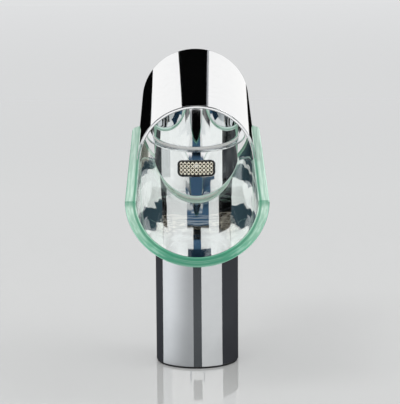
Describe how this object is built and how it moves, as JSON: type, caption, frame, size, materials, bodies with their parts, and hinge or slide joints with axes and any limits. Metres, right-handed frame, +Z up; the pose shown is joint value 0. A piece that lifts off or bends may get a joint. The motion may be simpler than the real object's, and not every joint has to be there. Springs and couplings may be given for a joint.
{
  "type": "waterfall basin mixer tap",
  "caption": "Tall-column basin mixer with a half-pipe glass waterfall spout and a half-pipe hood as its swivel and lift handle.",
  "frame": {"origin": "centre of the round base on the basin's surface, on the column's axis", "axes": "+Z up along the column, -Y towards the basin along the spout, +X to the right of a viewer who faces the spout's mouth"},
  "size_m": [0.076, 0.165, 0.1879],
  "materials": {
    "chrome": "polished chrome plating on brass",
    "glass": "clear bent glass with ground and polished green edges",
    "brass": "raw machined brass",
    "steel": "plain stainless steel",
    "rubber": "black rubber",
    "clear_seal": "milky clear silicone rubber",
    "white_plastic": "white acetal plastic",
    "black_plastic": "black plastic"
  },
  "bodies": {
    "fixed_body": {"base_gasket": "rubber", "base_plug": "brass", "column": "chrome", "column_collar": "brass", "hot_riser": "brass", "cold_riser": "brass", "riser_seals": "rubber", "lower_saddle_gasket": "clear_seal", "spout_glass": "glass", "glass_bush": "white_plastic", "upper_saddle_gasket": "clear_seal", "outlet_sleeve": "chrome", "valve_body": "brass", "flange_seal": "rubber", "clamp_washer": "steel", "clamp_nut": "brass", "outlet_gasket": "rubber", "mesh_frame": "black_plastic", "outlet_mesh": "steel", "port_seals": "rubber", "cartridge_barrel": "white_plastic", "barrel_seals": "rubber", "cartridge_nut": "brass", "cover_rim": "chrome", "glide_ring": "white_plastic"},
    "turret": {"handle_hub": "chrome", "hinge_pin": "steel", "hub_screw": "steel"},
    "hood": {"handle_hood": "chrome", "lever_bracket": "steel"},
    "stem": {"stem": "steel", "spool_seals": "rubber", "link_pin": "steel"}
  },
  "joints": [
    {"name": "handle_swivel", "type": "hinge", "parent": "fixed_body", "child": "turret", "pos_m": [0, 0, 0.1385], "axis": [0, -0.247, 0.969], "range_deg": [-45, 45]},
    {"name": "hood_lift", "type": "hinge", "parent": "turret", "child": "hood", "pos_m": [0, 0.01456, 0.16234], "axis": [-1, 0, 0], "range_deg": [0, 20]},
    {"name": "stem_slide", "type": "slide", "parent": "turret", "child": "stem", "axis": [0, -0.247, 0.969], "range_m": [0, 0.0075]}
  ],
  "couplings": [
    {"joint": "stem_slide", "follows": "hood_lift", "m_per_rad": 0.020854}
  ]
}
